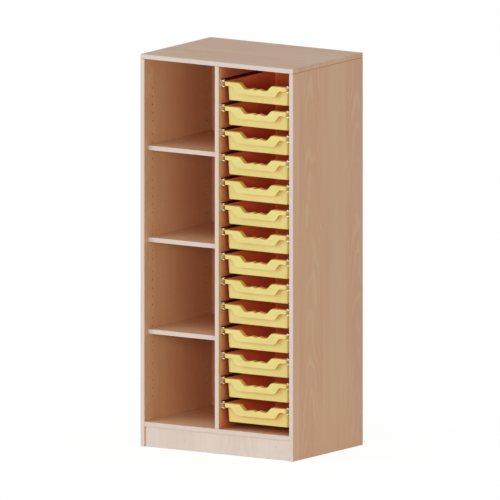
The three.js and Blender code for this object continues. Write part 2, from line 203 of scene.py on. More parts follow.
class Finishes(PropertyGroup):
    """Colours of the finishes, and the colours that paint shade and light onto them"""

    facing_pale: colour("Facing, pale", "Pale wood outside", 0.694, 0.444, 0.268)
    facing_tan: colour("Facing, tan", "Darker figure outside", 0.664, 0.364, 0.203)
    # Painted shade: the inner colours are a warmer copy of the outer facing for the faces in the shelf bay,
    # and the last of them darkens the bay's corners and gaps.
    inner_pale: colour("Inner facing, pale", "Pale wood in the shelf bay", 0.720, 0.450, 0.245)
    inner_tan: colour("Inner facing, tan", "Darker figure in the shelf bay", 0.680, 0.368, 0.182)
    inner_depth: colour("Inner facing, recesses", "Its tone in corners and gaps", 0.560, 0.235, 0.108)
    # Painted light: the shelf colours are a brighter copy of the facing for the level faces inside the unit,
    # and the last of them is painted shade in their corners and gaps.
    shelf_pale: colour("Shelf, pale", "Pale wood of level boards in the bays", 0.900, 0.660, 0.440)
    shelf_tan: colour("Shelf, tan", "Darker figure of level boards in the bays", 0.850, 0.560, 0.340)
    shelf_depth: colour("Shelf, recesses", "Their tone in corners and gaps", 0.560, 0.235, 0.108)
    # Painted shade: the tray bay colours are a redder copy of the facing for the walls beside the trays, and
    # the last of them darkens the gaps beside the trays.
    bay_pale: colour("Tray bay, pale", "Pale wood beside the trays", 0.800, 0.450, 0.180)
    bay_tan: colour("Tray bay, tan", "Darker figure beside the trays", 0.760, 0.375, 0.140)
    bay_depth: colour("Tray bay, recesses", "Its tone in the gaps beside the trays", 0.500, 0.080, 0.035)
    # Painted light: the edging colours are paler than the facing and stand for the light and sheen on front
    # faces; they colour the front edges and the plinth.
    edging_pale: colour("Edging, pale", "Pale wood of the edging", 0.690, 0.600, 0.525)
    edging_tan: colour("Edging, tan", "Darker figure of the edging", 0.640, 0.540, 0.460)
    core: colour("Core", "Chipboard inside the boards", 0.42, 0.28, 0.16)
    tray: colour("Tray", "Moulded tray plastic", 0.74, 0.64, 0.20)
    tray_mark: colour("Tray, marks", "Slide marks on the tray plastic", 0.86, 0.78, 0.45)
    # Painted light: the side colour brightens the outward faces at the tray's sides, in the gaps beside the
    # runners.
    tray_rim_lit: colour("Tray, sides", "Tray plastic on its sides, close to the runners", 0.97, 0.90, 0.22)
    # Painted shade: the next two colours redden the tray plastic behind its handle and rim and, more deeply,
    # inside a closed tray.
    tray_shade: colour("Tray, shade", "Tray plastic behind its handle and rim", 0.95, 0.52, 0.08)
    tray_depth: colour("Tray, recesses", "Tray plastic deep inside a closed tray", 0.99, 0.15, 0.055)
    runner: colour("Runner", "Satin metal of the runners", 0.78, 0.78, 0.79)
    # Painted shade: the runners' recess colour darkens them in the gaps inside the tray bay.
    runner_shade: colour("Runner, recesses", "Deeper tone of the runners inside the bay", 0.16, 0.045, 0.030)
    steel: colour("Steel", "Plated steel of the supports", 0.60, 0.61, 0.63)
    screw: colour("Screw", "Zinc of the screws", 0.66, 0.64, 0.58)


class StageSettings(PropertyGroup):
    """Camera and light"""

    azimuth: angle("Azimuth", "Camera round the unit", 33.02)
    elevation: angle("Elevation", "Camera over the horizon", 9.09)
    view_width: length("View width", "Width of the camera's parallel view", 1935.5)
    aim_left: length("Aim left", "Middle of the view to the left of the origin", 6.5)
    aim_up: length("Aim up", "Middle of the view over the origin", 757.0)
    camera_distance: length("Camera distance", "Camera from the unit", 5000.0)
    sky: strength("Sky", "Strength of the even light from all round", 0.45)
    key_power: strength("Key power", "Power of the left softbox", 218.0, "POWER")
    key_azimuth: angle("Key azimuth", "Left softbox round the unit", -36.0)
    key_elevation: angle("Key elevation", "Left softbox over the horizon", 11.0)
    fill_power: strength("Fill power", "Power of the right softbox", 236.0, "POWER")
    fill_azimuth: angle("Fill azimuth", "Right softbox round the unit", 33.0)
    fill_elevation: angle("Fill elevation", "Right softbox over the horizon", 9.0)
    softbox_width: length("Softbox width", "Width of the softboxes", 5600.0)
    key_height: length("Key height", "Height of the left softbox", 5600.0)
    fill_height: length("Fill height", "Height of the right softbox, a low strip", 1800.0)
    softbox_distance: length("Softbox distance", "Softboxes from the unit", 8000.0)
    floor_radius: length("Floor radius", "Radius of the floor", 6000.0)
    floor_drop: length("Floor drop", "Floor under the lower ends of the boards", 0.5)
    floor_near: length("Floor near", "Where the floor starts to fade into the background", 500.0)
    floor_far: length("Floor far", "Where the floor has faded", 1800.0)
    floor_glow: strength("Floor glow", "Share of plain white in the floor that the camera sees", 0.88)
    floor_white: strength("Floor white", "Strength of that white", 1.06)


class StorageUnitSettings(PropertyGroup):
    """All settings of the storage unit"""

    boards: PointerProperty(type=BoardSizes)
    trays: PointerProperty(type=TraySizes)
    runners: PointerProperty(type=RunnerSizes)
    supports: PointerProperty(type=SupportSizes)
    finishes: PointerProperty(type=Finishes)
    stage: PointerProperty(type=StageSettings)


class Signal:
    """A socket of a node tree that takes part in Python expressions."""

    def __init__(self, look, socket):
        self.look = look
        self.socket = socket

    def out(self, name):
        """Another output of the same node."""
        return Signal(self.look, self.socket.node.outputs[name])

    def _join(self, operation, first, second):
        if self.socket.type == "RGBA":
            settings = {"data_type": "RGBA", "blend_type": operation}
            return self.look.node("ShaderNodeMix", settings, {0: 1.0, 6: first, 7: second}, 2)
        kind = "ShaderNodeVectorMath" if self.socket.type == "VECTOR" else "ShaderNodeMath"
        return self.look.node(kind, {"operation": operation}, {0: first, 1: second})

    def __add__(self, other):
        return self._join("ADD", self, other)

    def __radd__(self, other):
        return self._join("ADD", other, self)

    def __sub__(self, other):
        return self._join("SUBTRACT", self, other)

    def __rsub__(self, other):
        return self._join("SUBTRACT", other, self)

    def __mul__(self, other):
        return self._join("MULTIPLY", self, other)

    def __rmul__(self, other):
        return self._join("MULTIPLY", other, self)

    def __truediv__(self, other):
        return self._join("DIVIDE", self, other)

    def __rtruediv__(self, other):
        return self._join("DIVIDE", other, self)

    def __pow__(self, other):
        return self._join("POWER", self, other)

    def __rpow__(self, other):
        return self._join("POWER", other, self)


class Look:
    """A node tree that is being wired."""

    def __init__(self, owner):
        self.owner = owner
        owner.use_nodes = True
        self.tree = owner.node_tree
        self.tree.nodes.clear()

    def node(self, kind, settings=None, inputs=None, output=0):
        """Adds a node, sets it up, fills its sockets and returns one of its outputs."""
        made = self.tree.nodes.new(kind)
        for name, value in (settings or {}).items():
            setattr(made, name, value)
        for key, value in (inputs or {}).items():
            if isinstance(value, Signal):
                self.tree.links.new(value.socket, made.inputs[key])
            else:
                made.inputs[key].default_value = value
        return Signal(self, made.outputs[output]) if made.outputs else None


def made_once(build):
    """Makes a material when its name is asked for the first time."""

    def named(name, *values):
        return bpy.data.materials.get(name) or build(Look(bpy.data.materials.new(name)), *values)

    return named


def opaque(rgb, red=1.0, green=1.0, blue=1.0):
    """A colour with full alpha, its parts scaled."""
    return (min(1.0, red * rgb[0]), min(1.0, green * rgb[1]), min(1.0, blue * rgb[2]), 1.0)


def math_node(look, operation, *values):
    """A Math node for what has no operator."""
    return look.node("ShaderNodeMath", {"operation": operation}, dict(enumerate(values)))


def noise(look, x, y, z, detail=2.0, roughness=0.5):
    """Smooth noise at a place given by three numbers."""
    place = look.node("ShaderNodeCombineXYZ", None, {0: x, 1: y, 2: z})
    inputs = {"Vector": place, "Scale": 1.0, "Detail": detail, "Roughness": roughness}
    return look.node("ShaderNodeTexNoise", None, inputs)


def stretched(look, axes, scales, detail=2.0, roughness=0.5):
    """Smooth noise on the object coordinates, each with its own scale."""
    return noise(look, *(axes[axis] * scale for axis, scale in zip("XYZ", scales)), detail, roughness)


def ramped(look, value, low, high):
    """A value that rises smoothly from 0 at one place to 1 at another."""
    inputs = {"Value": value, "From Min": low, "From Max": high}
    return look.node("ShaderNodeMapRange", {"interpolation_type": "SMOOTHSTEP"}, inputs)


def blended(look, factor, first, second):
    """A colour between two others."""
    return look.node("ShaderNodeMix", {"data_type": "RGBA"}, {0: factor, 6: first, 7: second}, 2)


def openness(look):
    """0 deep in a gap or a corner, 1 where a surface faces the open."""
    return look.node("ShaderNodeAmbientOcclusion", {"samples": 8}, {"Distance": GAP}, "AO")


def with_painted_shade(look, base, recess, low, high):
    """Painted shade: a colour that gives way to a darker shade colour in corners and gaps, where ambient
    occlusion finds them.
    """
    return blended(look, ramped(look, openness(look), low, high), opaque(recess), base)


def object_axes(look):
    """The three object coordinates, as numbers by letter."""
    place = look.node("ShaderNodeTexCoord").out("Object")
    parts = look.node("ShaderNodeSeparateXYZ", None, {0: place})
    return {axis: parts.out(axis) for axis in "XYZ"}


def finished(look, base, roughness, bump, bump_strength, bump_distance, constants):
    """Ends a material with a Principled shader and its bump."""
    normal = look.node(
        "ShaderNodeBump", None, {"Strength": bump_strength, "Distance": bump_distance, "Height": bump}
    )
    inputs = {"Base Color": base, "Roughness": roughness, "Normal": normal, **constants}
    surface = look.node("ShaderNodeBsdfPrincipled", None, inputs)
    look.node("ShaderNodeOutputMaterial", None, {"Surface": surface})
    return look.owner


@made_once
def wood_facing(look, finishes, decor, grain, across, shift, seed, plank=PLANK):
    """Satin wood facing of planks, arched and straight in turn, with flecks, and with painted shade in
    corners and gaps when the decor has a shade colour.
    """
    pale, tan = getattr(finishes, f"{decor}_pale"), getattr(finishes, f"{decor}_tan")
    # the decor's painted-shade colour for corners and gaps, if it has one
    recess = getattr(finishes, f"{decor}_depth", None)
    ring_pitch, arch_width = 0.17, 0.048
    axes = object_axes(look)
    along, over = axes[grain], axes[across]
    depth = axes[({"X", "Y", "Z"} - {grain, across}).pop()]
    strip = (over + shift) / plank
    number = math_node(look, "FLOOR", strip)
    chance = look.node("ShaderNodeTexWhiteNoise", {"noise_dimensions": "1D"}, {"W": number * 7.31 + seed})
    arched = 1.0 - math_node(look, "FLOORED_MODULO", number, 2.0)
    place = (math_node(look, "FRACT", strip) - 0.5) * plank
    run = along + chance * 9.0
    sway = noise(look, run * 5.0, over * 15.0, depth * 4.0, 3.0) - 0.5
    arch = place / arch_width
    rings = run / ring_pitch + arch * arch + sway * 3.2
    wave = math_node(look, "SINE", rings * (2 * math.pi)) * 0.5 + 0.5
    patch = ramped(look, noise(look, run * 4.0, over * 13.0 + 5.0, depth * 3.0), 0.32, 0.62)
    line = wave ** 3.5 * patch * arched
    streak = noise(look, run * 1.7, over * 190.0, depth * 12.0, 3.0, 0.6)
    pores = noise(look, run * 11.0, over * 950.0, depth * 60.0)
    drift = noise(look, run * 1.6, over * 14.0, depth * 5.0)
    fleck = ramped(look, noise(look, run * 40.0, over * 170.0, depth * 40.0, 1.0), 0.70, 0.80)
    amount = arched * 0.30 - line * 0.65 + streak * 1.05 + pores * 0.26 + drift * 0.90 - 0.72
    wood = blended(look, ramped(look, amount, 0.0, 1.0), opaque(pale), opaque(tan))
    base = blended(look, fleck * 0.6, wood, opaque(tan, 0.84, 0.64, 0.56))
    # painted shade: the wood gives way to that colour where ambient occlusion finds a corner or a gap
    if recess:
        base = with_painted_shade(look, base, recess, 0.0, 0.5)
    roughness = pores * 0.10 + drift * 0.08 + 0.34
    constants = {"IOR": 1.45, "Specular IOR Level": 0.5}
    return finished(look, base, roughness, pores * 0.6 + streak * 0.4, 0.12, 0.2 * MM, constants)


@made_once
def wood_edging(look, finishes, grain):
    """Thin edging strip with a straight grain along the board; its paler colours are painted light on the
    front faces.
    """
    axes = object_axes(look)
    streak = stretched(look, axes, [2.2 if axis == grain else 210.0 for axis in "XYZ"], 3.0, 0.6)
    pores = stretched(look, axes, [16.0 if axis == grain else 1100.0 for axis in "XYZ"])
    drift = stretched(look, axes, (3.0, 3.0, 3.0))
    amount = ramped(look, streak * 0.6 + pores * 0.3 + drift * 0.5 - 0.2, 0.0, 1.0)
    base = blended(look, amount, opaque(finishes.edging_pale), opaque(finishes.edging_tan))
    roughness = pores * 0.10 + drift * 0.08 + 0.38
    return finished(look, base, roughness, pores, 0.1, 0.2 * MM, {"IOR": 1.45, "Specular IOR Level": 0.45})


@made_once
def board_core(look, tone):
    """Pressed chips of wood, seen in drilled holes and grooves."""
    axes = object_axes(look)
    chips = stretched(look, axes, (420.0, 420.0, 420.0), 3.0, 0.7)
    dust = stretched(look, axes, (1500.0, 1500.0, 1500.0))
    base = blended(look, ramped(look, chips, 0.3, 0.7), opaque(tone, 0.6, 0.6, 0.6), opaque(tone))
    constants = {"Specular IOR Level": 0.2}
    return finished(look, base, dust * 0.1 + 0.8, chips + dust * 0.4, 0.4, 0.4 * MM, constants)


@made_once
def tray_plastic(look, finishes, sizes, low, high, pitch):
    """Satin moulding with a faint flow tone and slide marks, with painted shade inside and in narrow gaps and
    painted light on its outward faces beside the runners.
    """
    axes = object_axes(look)
    flow = stretched(look, axes, (9.0, 6.0, 16.0))
    haze = stretched(look, axes, (38.0, 30.0, 38.0), 4.0, 0.65)
    grain = stretched(look, axes, (1250.0, 1250.0, 1250.0), 1.0)
    slide = stretched(look, axes, (620.0, 7.0, 620.0), 1.0)
    mark = ramped(look, slide, 0.70, 0.78) * ramped(look, haze, 0.45, 0.65)
    tone = ramped(look, flow * 0.7 + haze * 0.3, 0.3, 0.7)
    dark, pale = opaque(finishes.tray, 0.955, 0.93, 0.86), opaque(finishes.tray, 1.02, 1.03, 1.12)
    body = blended(look, tone, dark, pale)
    marked = blended(look, mark * 0.12, body, opaque(finishes.tray_mark))
    # painted shade: where ambient occlusion finds the plastic enclosed it takes the deep shade colour, and
    # near a tub's floor the lighter shade colour
    air = openness(look)
    height = math_node(look, "FLOORED_MODULO", axes["Z"] - low.z + sizes.wall, pitch)
    bottom = ramped(look, height, 5 * sizes.wall, 2.5 * sizes.wall)
    light = ramped(look, air + bottom * 0.3, 0.04, 0.30)
    inner = blended(look, light, opaque(finishes.tray_depth), opaque(finishes.tray_shade))
    # painted light and shade at the tray's sides: outward faces beside the runners take the bright side
    # colour, inward ones the shade colour
    place = axes["X"] - (low.x + high.x) / 2
    facing = look.node("ShaderNodeTexCoord").out("Normal")
    normal = look.node("ShaderNodeSeparateXYZ", None, {0: facing})
    outward = normal * math_node(look, "SIGN", place)
    side = math_node(look, "ABSOLUTE", place) + outward * (2 * sizes.wall)
    outer = ramped(look, side, sizes.tub_half, sizes.tub_half + MM) * ramped(look, normal.out("Z"), 0.8, 0.4)
    turned = ramped(look, outward, -0.5, 0.5)
    rim = blended(look, turned, opaque(finishes.tray_shade), opaque(finishes.tray_rim_lit))
    shaded = blended(look, outer, inner, rim)
    # the painted shade is lifted on front faces near the studio floor and inside a tub behind its front wall;
    # the plain colour shows where the plastic is open
    near_floor = ramped(look, axes["Z"], 0.5, 0.1) * ramped(look, normal.out("Y"), -0.3, -0.8)
    tub_front = low.y + sizes.handle_reach + sizes.wall
    within = ramped(look, axes["Y"], tub_front, tub_front + 2 * sizes.wall)
    lit = ramped(look, air + (near_floor + within) * 0.16, 0.36, 0.62)
    base = blended(look, lit, shaded, marked)
    roughness = haze * 0.10 + mark * 0.12 + 0.36
    constants = {"IOR": 1.5, "Specular IOR Level": 0.5}
    return finished(look, base, roughness, grain + slide * 0.15, 0.08, 0.2 * MM, constants)


@made_once
def plated_metal(look, tone, grain, recess=None):
    """Plated metal with fine marks along one axis, an uneven shine, and painted shade in recesses when a
    shade colour is given.
    """
    axes = object_axes(look)
    marks = stretched(look, axes, [120.0 if axis == grain else 2600.0 for axis in "XYZ"])
    cloud = stretched(look, axes, (160.0, 160.0, 160.0), 3.0)
    base = blended(look, ramped(look, cloud, 0.35, 0.7), opaque(tone, 0.86, 0.86, 0.86), opaque(tone))
    # painted shade: a recess colour darkens the metal where ambient occlusion finds a gap
    if recess:
        base = with_painted_shade(look, base, recess, 0.1, 0.5)
    roughness = marks * 0.16 + cloud * 0.12 + 0.2
    return finished(look, base, roughness, marks, 0.15, 0.1 * MM, {"Metallic": 1.0})


def block(low, high):
    """A box between two corners."""
    low, high = Vector(low), Vector(high)
    shape = bmesh.new()
    bmesh.ops.create_cube(shape, size=1.0)
    bmesh.ops.scale(shape, vec=high - low, verts=shape.verts)
    bmesh.ops.translate(shape, vec=(low + high) / 2, verts=shape.verts)
    return shape


def round_edges(shape, edges, radius, segments):
    """Rounds some edges of a shape."""
    bmesh.ops.bevel(
        shape, geom=edges, offset=radius, offset_type="OFFSET", affect="EDGES", segments=segments,
        profile=0.5, material=-1, clamp_overlap=True,
    )


def sharp_edges(shape, least=1.2):
    """The edges where faces meet at more than an angle."""
    return [edge for edge in shape.edges if edge.is_manifold and edge.calc_face_angle() > least]


def level_edges(shape, axis, value):
    """The edges that lie in a plane across an axis."""
    return [edge for edge in shape.edges if all(abs(vert.co[axis] - value) < CLOSE for vert in edge.verts)]


def sliced(shape, place, normal):
    """Cuts the faces of a shape along a plane."""
    parts = shape.verts[:] + shape.edges[:] + shape.faces[:]
    bmesh.ops.bisect_plane(shape, geom=parts, plane_co=place, plane_no=normal)


def draw_out(shape, grown, vec):
    """Moves the points that an extrusion made, and turns all faces outward."""
    moved = [part for part in grown["geom"] if isinstance(part, bmesh.types.BMVert)]
    bmesh.ops.translate(shape, vec=vec, verts=moved)
    bmesh.ops.remove_doubles(shape, verts=shape.verts, dist=CLOSE)
    bmesh.ops.recalc_face_normals(shape, faces=shape.faces)


def revolved(profile, steps):
    """A closed turned shape about the x axis, from (x, radius) points that start and end on it."""
    shape = bmesh.new()
    verts = [shape.verts.new((x, radius, 0.0)) for x, radius in profile]
    edges = [shape.edges.new(pair) for pair in zip(verts, verts[1:])]
    bmesh.ops.spin(
        shape, geom=verts + edges, cent=(0, 0, 0), axis=(1, 0, 0), angle=2 * math.pi, steps=steps,
        use_merge=True,
    )
    bmesh.ops.remove_doubles(shape, verts=shape.verts, dist=CLOSE)
    bmesh.ops.recalc_face_normals(shape, faces=shape.faces)
    return shape


def mesh_of(shape, name):
    """A mesh from a shape, which is then let go."""
    mesh = bpy.data.meshes.new(name)
    shape.to_mesh(mesh)
    shape.free()
    return mesh


def added(name, data):
    """A new object in the scene."""
    thing = bpy.data.objects.new(name, data)
    bpy.context.scene.collection.objects.link(thing)
    return thing


def piece_of(shape, name, looks):
    """A finished object from a shape, with smooth rounded edges and flat faces."""
    mesh = mesh_of(shape, name)
    for look in looks:
        mesh.materials.append(look)
    mesh.shade_smooth()
    mesh.set_sharp_from_angle(angle=SHARP)
    piece = added(name, mesh)
    weigh = piece.modifiers.new("weighted_normals", "WEIGHTED_NORMAL")
    weigh.keep_sharp = True
    weigh.weight = 80
    return piece


def combined(base, tool, operation):
    """A shape joined with another one, or cut by it."""
    holders = [added("working_shape", mesh_of(shape, "working_shape")) for shape in (base, tool)]
    change = holders[0].modifiers.new("change", "BOOLEAN")
    change.operation = operation
    change.solver = "EXACT"
    change.material_mode = "INDEX"
    change.object = holders[1]
    result = bmesh.new()
    result.from_object(holders[0], bpy.context.evaluated_depsgraph_get())
    for holder in holders:
        mesh = holder.data
        bpy.data.objects.remove(holder)
        bpy.data.meshes.remove(mesh)
    if not result.faces:
        raise RuntimeError("a shape was lost when it was joined or cut")
    bmesh.ops.remove_doubles(result, verts=result.verts, dist=CLOSE)
    return result


def pattern(shape, places):
    """Copies of a shape, one at each matrix."""
    mesh = mesh_of(shape, "working_shape")
    group = bmesh.new()
    for place in places:
        first = len(group.verts)
        group.from_mesh(mesh)
        group.verts.ensure_lookup_table()
        bmesh.ops.transform(group, matrix=place, verts=group.verts[first:])
    bpy.data.meshes.remove(mesh)
    if any(place.determinant() < 0 for place in places):
        bmesh.ops.reverse_faces(group, faces=group.faces)
    return group


def settle(piece, body, slot, *nodes):
    """Ties a piece to the body it moves with and hides the CAD nodes that it stands for; the finish it is
    given is not used.
    """
    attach(piece, body)
    if nodes:
        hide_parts(*nodes)


def board_shape(low, high, sizes, inner=(), bay=()):
    """A board with a rounded front edging strip and eased edges, and its faces in the two bays."""
    shape = block(low, high)
    round_edges(shape, level_edges(shape, 1, low.y), sizes.edging_radius, 4)
    round_edges(shape, sharp_edges(shape), sizes.arris, 2)
    glue_line = low.y + sizes.edging
    sliced(shape, (0, glue_line, 0), (0, 1, 0))
    for face in shape.faces:
        if face.calc_center_median().y < glue_line:
            face.material_index = EDGING
        elif any(face.normal.dot(Vector(way)) > ALONG for way in inner):
            face.material_index = INNER
        elif any(face.normal.dot(Vector(way)) > ALONG for way in bay):
            face.material_index = BAY
        else:
            face.material_index = FACING
    return shape


def cut_core(shape, tool):
    """Cuts a board so that its core shows in the cut."""
    for face in tool.faces:
        face.material_index = CORE
    return combined(shape, tool, "DIFFERENCE")


def carcass_spans(seam, top_seam):
    """Lowest and highest corner of each carcass board, without its dowels."""
    spans = {name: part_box(name) for name in BOARDS}
    wall_top = spans["top_panel"][0].z - top_seam
    for name in ("side_panel_left", "side_panel_right", "partition"):
        spans[name][1].z = wall_top
    spans["partition"][0].z = spans["bottom_panel"][1].z + seam
    for name in ("bottom_panel", "plinth"):
        spans[name][0].x = spans["side_panel_left"][1].x + seam
        spans[name][1].x = spans["side_panel_right"][0].x - seam
    return spans


def shelf_holes(sizes, face, front, inward):
    """Cutter for all the shelf holes in one face of a wall."""
    radius = sizes.hole_diameter / 2
    wide = radius + sizes.hole_chamfer
    profile = [
        (-PAST, 0.0),
        (-PAST, wide),
        (0.0, wide),
        (sizes.hole_chamfer, radius),
        (sizes.hole_depth, radius),
        (sizes.hole_depth, 0.0),
    ]
    turn = Matrix.Rotation(0.0 if inward > 0 else math.pi, 4, "Z")
    places = []
    for group in range(sizes.hole_groups):
        for hole in range(sizes.holes_per_group):
            offset = (hole - (sizes.holes_per_group - 1) / 2) * sizes.hole_pitch
            height = sizes.lowest_group + group * sizes.group_pitch + offset
            for column in (sizes.hole_front, sizes.hole_rear):
                places.append(Matrix.Translation((face, front + column, height)) @ turn)
    return pattern(revolved(profile, 20), places)


def upright_looks(finishes):
    """Looks of the boards that stand upright from front to rear."""
    return [
        wood_facing("facing_upright", finishes, "facing", "Z", "Y", 0.2055, 3.0),
        wood_edging("edging_upright", finishes, "Z"),
        board_core("board_core", finishes.core),
        # warmer copy of the facing inside the shelf bay: painted shade
        wood_facing("facing_upright_inner", finishes, "inner", "Z", "Y", 0.29, 6.0),
        # redder copy of the facing beside the trays: painted shade
        wood_facing("facing_tray_bay", finishes, "bay", "Z", "Y", 0.29, 9.0),
    ]


def level_looks(finishes):
    """Looks of the boards that lie level."""
    return [
        wood_facing("facing_level", finishes, "facing", "X", "Y", 0.2055, 11.0),
        wood_edging("edging_level", finishes, "X"),
        board_core("board_core", finishes.core),
        # brighter copy of the facing for level faces inside the unit: painted light, with painted shade in
        # corners
        wood_facing("facing_level_inner", finishes, "shelf", "X", "Y", 0.24, 14.0),
    ]


class STORAGE_UNIT_OT_boards(Operator):
    """Build the faced boards of the carcass"""

    bl_idname = "storage_unit.boards"
    bl_label = "Carcass boards"

    def execute(self, context):
        settings = context.scene.storage_unit
        sizes, finishes = settings.boards, settings.finishes
        spans = carcass_spans(sizes.seam, sizes.top_seam)
        # faces that take the bays' copies of the facing, with their painted shade and painted light
        inner = {
            "side_panel_left": [(1, 0, 0)],
            "partition": [(-1, 0, 0)],
            "top_panel": [(0, 0, -1)],
            "bottom_panel": [(0, 0, 1)],
            "back_panel": [(0, -1, 0)],
        }
        # walls beside the trays, which take the redder copy of the facing: painted shade
        bay = {"side_panel_right": [(-1, 0, 0)], "partition": [(1, 0, 0)]}
        shapes = {}
        for name in BOARDS:
            shapes[name] = board_shape(*spans[name], sizes, inner.get(name, ()), bay.get(name, ()))
        gap = Vector((sizes.seam, sizes.seam, sizes.seam))
        back_low, back_high = spans["back_panel"]
        for name in ("side_panel_left", "side_panel_right", "top_panel"):
            shapes[name] = cut_core(shapes[name], block(back_low - gap, back_high + gap))
        front = spans["side_panel_left"][0].y
        for name, side, inward in (("side_panel_left", 1, -1), ("partition", 0, 1)):
            holes = shelf_holes(sizes, spans[name][side].x, front, inward)
            shapes[name] = cut_core(shapes[name], holes)
        upright, level = upright_looks(finishes), level_looks(finishes)
        # the plinth takes the pale edging colours: painted light on a front face
        plinth_face = wood_facing("facing_plinth", finishes, "edging", "Z", "X", 0.258, 5.0, 0.148)
        back_face = wood_facing("facing_back", finishes, "facing", "Z", "X", 0.35, 8.0)
        # the back panel's front face takes the shelf bay's warmer copy: painted shade
        back_inner = wood_facing("facing_back_inner", finishes, "inner", "Z", "X", 0.31, 2.0)
        looks = {
            "top_panel": level,
            "bottom_panel": level,
            "plinth": [plinth_face, plinth_face, upright[CORE], plinth_face],
            "back_panel": [back_face, back_inner, upright[CORE], back_inner],
        }
        for name in BOARDS:
            piece = piece_of(shapes[name], f"{name}_board", looks.get(name, upright))
            settle(piece, "carcass", "pale_edging" if name == "plinth" else "faced_board", name)
        return {"FINISHED"}


class STORAGE_UNIT_OT_shelves(Operator):
    """Build the shelves"""

    bl_idname = "storage_unit.shelves"
    bl_label = "Shelves"

    def execute(self, context):
        settings = context.scene.storage_unit
        sizes = settings.boards
        bay_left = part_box("side_panel_left")[1].x + sizes.seam
        bay_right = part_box("partition")[0].x - sizes.seam
        for name in SHELVES:
            low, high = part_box(name)
            low.x = max(low.x, bay_left)
            high.x = min(high.x, bay_right)
            # both level faces of a shelf take the brighter copy of the facing: painted light
            shape = board_shape(low, high, sizes, [(0, 0, 1), (0, 0, -1)])
            piece = piece_of(shape, f"{name}_board", level_looks(settings.finishes))
            settle(piece, "carcass", "faced_board", name)
        return {"FINISHED"}


def support_shape(sizes):
    """A shelf support on a left-hand wall, with the peg's axis at the origin."""
    shape = bmesh.new()
    outline = [
        (sizes.seam, -sizes.tail),
        (sizes.tongue, -sizes.tail),
        (sizes.reach, sizes.peg_drop - sizes.tongue),
        (sizes.reach, sizes.peg_drop),
        (sizes.seam, sizes.peg_drop),
    ]
    corners = [shape.verts.new((x, -sizes.width / 2, z)) for x, z in outline]
    side = shape.faces.new(corners)
    grown = bmesh.ops.extrude_face_region(shape, geom=[side])
    draw_out(shape, grown, (0, sizes.width, 0))
    round_edges(shape, sharp_edges(shape, 0.3), sizes.arris, 2)
    radius = sizes.peg_diameter / 2
    profile = [
        (-sizes.peg_depth, 0.0),
        (-sizes.peg_depth, radius - sizes.arris),
        (sizes.arris - sizes.peg_depth, radius),
        (2 * sizes.seam, radius),
        (2 * sizes.seam, 0.0),
    ]
    return combined(shape, revolved(profile, 24), "UNION")


class STORAGE_UNIT_OT_supports(Operator):
    """Build the shelf supports"""

    bl_idname = "storage_unit.supports"
    bl_label = "Shelf supports"

    def execute(self, context):
        settings = context.scene.storage_unit
        sizes = settings.supports
        look = plated_metal("support_plated", settings.finishes.steel, "Y")
        for name in SUPPORTS:
            low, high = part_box(name)
            on_left = name.endswith("_left")
            wall = low.x + sizes.peg_depth if on_left else high.x - sizes.peg_depth
            place = Matrix.Translation((wall, (low.y + high.y) / 2, high.z - sizes.peg_drop))
            turn = Matrix.Rotation(0.0 if on_left else math.pi, 4, "Z")
            piece = piece_of(pattern(support_shape(sizes), [place @ turn]), f"{name}_bracket", [look])
            settle(piece, "carcass", "support_steel", name)
        return {"FINISHED"}


def runner_shape(span, sizes):
    """A runner on a left-hand wall: a channel with a closed rear end and flanges outside its lips."""
    lip_under = sizes.flange
    lip_over = span.z - sizes.flange
    inner_side = span.x - sizes.flange_wall
    rear = span.y + PAST
    channel = block(
        (sizes.web, -PAST, lip_under + sizes.lip),
        (span.x + PAST, span.y - sizes.stop, lip_over - sizes.lip),
    )
    lower_trough = block((sizes.web, -PAST, -PAST), (inner_side, rear, lip_under))
    upper_trough = block((sizes.web, -PAST, lip_over), (inner_side, rear, span.z + PAST))
    shape = block((0, 0, 0), span)
    for tool in (channel, lower_trough, upper_trough):
        shape = combined(shape, tool, "DIFFERENCE")
    round_edges(shape, sharp_edges(shape), sizes.arris, 2)
    return shape


class STORAGE_UNIT_OT_runners(Operator):
    """Build the tray runners"""

    bl_idname = "storage_unit.runners"
    bl_label = "Tray runners"

    def execute(self, context):
        settings = context.scene.storage_unit
        finishes = settings.finishes
        # painted shade: the runners darken in the gaps inside the tray bay
        look = plated_metal("runner_metal", finishes.runner, "Y", finishes.runner_shade)
        flip = Matrix.Scale(-1.0, 4, (1, 0, 0))
        for name in RUNNERS:
            low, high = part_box(name)
            shape = runner_shape(high - low, settings.runners)
            if "_left_" in name:
                place = Matrix.Translation(low)
            else:
                place = Matrix.Translation((high.x, low.y, low.z)) @ flip
            piece = piece_of(pattern(shape, [place]), f"{name}_channel", [look])
            settle(piece, "carcass", "runner_aluminium", name)
        return {"FINISHED"}


def half_wave(distance, slope):
    """A smooth step from 0 to 1 as a distance grows over the length of a slope."""
    along = min(1.0, max(0.0, distance / slope))
    return (1 - math.cos(math.pi * along)) / 2


def upper_edge(sizes, x):
    """How far the handle's upper edge lies under the rim's top."""
    offset = abs(x)
    if offset >= sizes.trough:
        rise = half_wave(offset - sizes.trough - sizes.hollow_floor, sizes.hollow_slope)
        return sizes.hollow_depth * (1 - rise)
    if offset < sizes.crest:
        rise = half_wave(offset, sizes.crest)
    else:
        rise = half_wave(sizes.trough - offset, sizes.trough - sizes.crest)
    return sizes.hollow_depth - sizes.crest_rise * rise


def lower_edge(sizes, x):
    """How far the handle's lower edge lies under the rim's top."""
    fall = half_wave(sizes.handle_half - sizes.shoulder - abs(x), sizes.handle_slope)
    return sizes.end_depth + (sizes.mid_depth - sizes.end_depth) * fall


